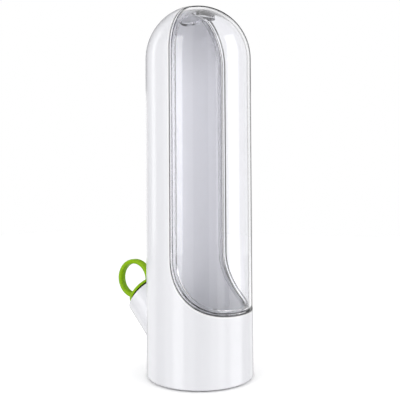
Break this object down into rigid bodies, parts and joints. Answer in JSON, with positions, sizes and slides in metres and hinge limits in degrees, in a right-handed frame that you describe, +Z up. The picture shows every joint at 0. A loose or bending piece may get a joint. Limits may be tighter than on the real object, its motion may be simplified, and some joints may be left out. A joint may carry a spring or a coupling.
{
  "type": "herb keeper",
  "caption": "Tall domed fridge keeper for fresh herbs: white back shell, clear tilting front cover, water cup in the foot, and a rear filler spout with a soft pull-ring plug.",
  "frame": {"origin": "on the tube's axis, at the underside of the foot pad, where the keeper stands", "axes": "+Z up along the tube, -Y out of the window, +Y towards the filler spout"},
  "size_m": [0.07, 0.1026, 0.243],
  "materials": {
    "white_plastic": "smooth satin gloss, moulded",
    "cup_plastic": "smooth moulded",
    "pad_rubber": "matt, soft",
    "clear_plastic": "clear, polished",
    "green_silicone": "soft satin silicone"
  },
  "bodies": {
    "shell": {"shell": "white_plastic", "filler_spout": "white_plastic", "water_cup": "cup_plastic", "foot_pad": "pad_rubber"},
    "cover": {"front_cover": "clear_plastic"},
    "plug": {"refill_plug": "green_silicone"}
  },
  "joints": [
    {"name": "cover_tilt", "type": "hinge", "parent": "shell", "child": "cover", "pos_m": [0, -0.035, 0.0435], "axis": [1, 0, 0], "range_deg": [0, 65]},
    {"name": "plug_pull", "type": "slide", "parent": "shell", "child": "plug", "axis": [0, 0.788, 0.6157], "range_m": [0, 0.02]}
  ]
}
